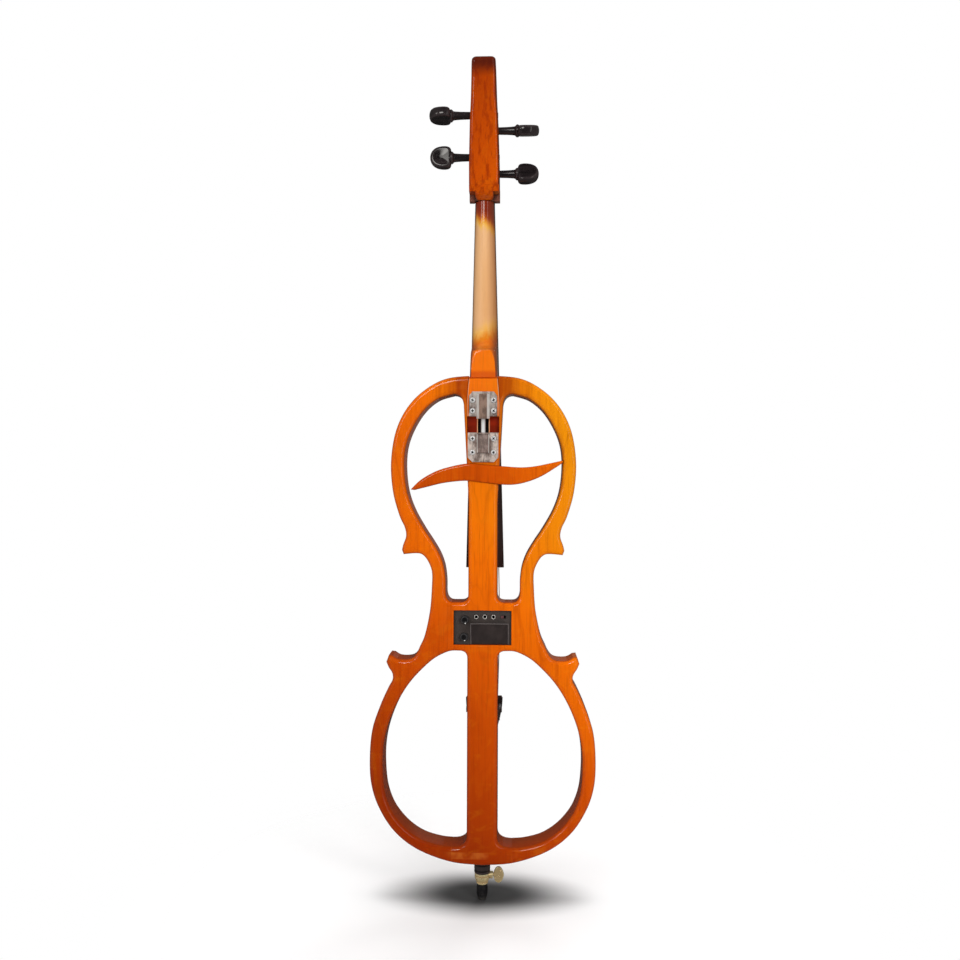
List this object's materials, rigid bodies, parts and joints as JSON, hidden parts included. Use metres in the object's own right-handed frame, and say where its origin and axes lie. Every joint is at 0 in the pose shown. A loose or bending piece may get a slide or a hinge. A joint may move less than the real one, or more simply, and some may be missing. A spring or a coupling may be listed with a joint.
{
  "type": "electric cello",
  "caption": "Electric cello with an open violin-shaped wooden frame, a central spine, a removable neck, strings over a bridge and a tailpiece, a recessed control unit and a sliding endpin.",
  "frame": {"origin": "in the middle of the underside of the shoulder block, where the yoke of a wall or stand hanger carries the instrument", "axes": "+Z from the frame's lower end up along the neck towards the pegs, +Y from the flat back towards the strings, +X to the right as the back is looked at"},
  "size_m": [0.3486, 0.1706, 1.2928],
  "materials": {
    "lacquered_wood": "orange burst lacquer, high gloss",
    "bare_maple": "satin oil",
    "ebony": "polished",
    "stained_wood": "dark gloss",
    "black_plastic": "satin",
    "nickel": "satin nickel",
    "chrome": "polished",
    "gold": "polished",
    "rubber": "matt",
    "string_steel": "flat-wound steel",
    "cord_nylon": "smooth",
    "circuit_green": "satin",
    "battery_case": "satin",
    "switch_red": "gloss"
  },
  "bodies": {
    "root": {"spine_board": "lacquered_wood", "left_wing": "lacquered_wood", "right_wing": "lacquered_wood", "s_bar": "lacquered_wood", "neck": "bare_maple", "pegbox": "lacquered_wood", "shoulder_block": "stained_wood", "nut": "ebony", "fingerboard": "ebony", "bridge": "bare_maple", "bridge_pickup": "black_plastic", "string_c": "string_steel", "string_g": "string_steel", "string_d": "string_steel", "string_a": "string_steel", "tailpiece": "ebony", "tuner_axle": "nickel", "tail_cord": "cord_nylon", "saddle": "ebony", "upper_bracket": "nickel", "lower_bracket": "nickel", "bracket_rod": "chrome", "bracket_screw_upper_left_1": "chrome", "bracket_screw_upper_left_2": "chrome", "bracket_screw_upper_right_1": "chrome", "bracket_screw_upper_right_2": "chrome", "bracket_screw_lower_left_1": "chrome", "bracket_screw_lower_left_2": "chrome", "bracket_screw_lower_right_1": "chrome", "bracket_screw_lower_right_2": "chrome", "control_housing": "black_plastic", "line_out_jack": "nickel", "headphone_jack": "nickel", "aux_jack": "nickel", "battery": "battery_case", "circuit_board": "circuit_green", "endpin_plug": "ebony", "endpin_collar": "gold"},
    "right_lower_peg": {"peg_right_lower": "ebony"},
    "left_lower_peg": {"peg_left_lower": "ebony"},
    "right_upper_peg": {"peg_right_upper": "ebony"},
    "left_upper_peg": {"peg_left_upper": "ebony"},
    "c_tuner_screw": {"tuner_screw_c": "nickel"},
    "g_tuner_screw": {"tuner_screw_g": "nickel"},
    "d_tuner_screw": {"tuner_screw_d": "nickel"},
    "a_tuner_screw": {"tuner_screw_a": "nickel"},
    "c_tuner_lever": {"tuner_lever_c": "nickel"},
    "g_tuner_lever": {"tuner_lever_g": "nickel"},
    "d_tuner_lever": {"tuner_lever_d": "nickel"},
    "a_tuner_lever": {"tuner_lever_a": "nickel"},
    "volume_control": {"volume_knob": "black_plastic"},
    "tone_control": {"tone_knob": "black_plastic"},
    "switch_cap": {"power_switch": "switch_red"},
    "door": {"battery_door": "black_plastic"},
    "endpin": {"endpin_rod": "chrome", "endpin_tip": "rubber"},
    "thumb_screw": {"endpin_thumb_screw": "gold"}
  },
  "joints": [
    {"name": "right_lower_peg_turn", "type": "hinge", "parent": "root", "child": "right_lower_peg", "pos_m": [0.024, -0.02382, 0.0385], "axis": [1, 0, 0], "continuous": true},
    {"name": "left_lower_peg_turn", "type": "hinge", "parent": "root", "child": "left_lower_peg", "pos_m": [-0.024, -0.03027, 0.0626], "axis": [-1, 0, 0], "continuous": true},
    {"name": "right_upper_peg_turn", "type": "hinge", "parent": "root", "child": "right_upper_peg", "pos_m": [0.024, -0.04022, 0.0997], "axis": [1, 0, 0], "continuous": true},
    {"name": "left_upper_peg_turn", "type": "hinge", "parent": "root", "child": "left_upper_peg", "pos_m": [-0.024, -0.04611, 0.1217], "axis": [-1, 0, 0], "continuous": true},
    {"name": "c_tuner_screw_turn", "type": "hinge", "parent": "root", "child": "c_tuner_screw", "pos_m": [0.0216, 0.04662, -0.82472], "axis": [0, -0.9917, 0.1288], "range_deg": [0, 1440]},
    {"name": "g_tuner_screw_turn", "type": "hinge", "parent": "root", "child": "g_tuner_screw", "pos_m": [0.0072, 0.04662, -0.82472], "axis": [0, -0.9917, 0.1288], "range_deg": [0, 1440]},
    {"name": "d_tuner_screw_turn", "type": "hinge", "parent": "root", "child": "d_tuner_screw", "pos_m": [-0.0072, 0.04662, -0.82472], "axis": [0, -0.9917, 0.1288], "range_deg": [0, 1440]},
    {"name": "a_tuner_screw_turn", "type": "hinge", "parent": "root", "child": "a_tuner_screw", "pos_m": [-0.0216, 0.04662, -0.82472], "axis": [0, -0.9917, 0.1288], "range_deg": [0, 1440]},
    {"name": "c_tuner_lever_tilt", "type": "hinge", "parent": "root", "child": "c_tuner_lever", "pos_m": [0.0216, 0.03342, -0.80989], "axis": [-1, 0, 0], "range_deg": [0, 10.5]},
    {"name": "g_tuner_lever_tilt", "type": "hinge", "parent": "root", "child": "g_tuner_lever", "pos_m": [0.0072, 0.03342, -0.80989], "axis": [-1, 0, 0], "range_deg": [0, 10.5]},
    {"name": "d_tuner_lever_tilt", "type": "hinge", "parent": "root", "child": "d_tuner_lever", "pos_m": [-0.0072, 0.03342, -0.80989], "axis": [-1, 0, 0], "range_deg": [0, 10.5]},
    {"name": "a_tuner_lever_tilt", "type": "hinge", "parent": "root", "child": "a_tuner_lever", "pos_m": [-0.0216, 0.03342, -0.80989], "axis": [-1, 0, 0], "range_deg": [0, 10.5]},
    {"name": "volume_turn", "type": "hinge", "parent": "root", "child": "volume_control", "pos_m": [-0.0275, -0.042, -0.65347], "axis": [0, 1, 0], "range_deg": [-150, 150]},
    {"name": "tone_turn", "type": "hinge", "parent": "root", "child": "tone_control", "pos_m": [-0.0285, -0.042, -0.67997], "axis": [0, 1, 0], "range_deg": [-150, 150]},
    {"name": "switch_slide", "type": "slide", "parent": "root", "child": "switch_cap", "axis": [1, 0, 0], "range_m": [0, 0.003]},
    {"name": "door_swing", "type": "hinge", "parent": "root", "child": "door", "pos_m": [-0.0178, -0.0409, -0.66547], "axis": [0, 0, -1], "range_deg": [0, 90]},
    {"name": "endpin_slide", "type": "slide", "parent": "root", "child": "endpin", "axis": [0, 0, -1], "range_m": [0, 0.26]},
    {"name": "thumb_screw_turn", "type": "hinge", "parent": "root", "child": "thumb_screw", "pos_m": [0.02, -0.021, -1.054], "axis": [1, 0, 0], "range_deg": [0, 720]}
  ],
  "couplings": [
    {"joint": "c_tuner_lever_tilt", "follows": "c_tuner_screw_turn", "ratio": 0.007},
    {"joint": "g_tuner_lever_tilt", "follows": "g_tuner_screw_turn", "ratio": 0.007},
    {"joint": "d_tuner_lever_tilt", "follows": "d_tuner_screw_turn", "ratio": 0.007},
    {"joint": "a_tuner_lever_tilt", "follows": "a_tuner_screw_turn", "ratio": 0.007}
  ]
}
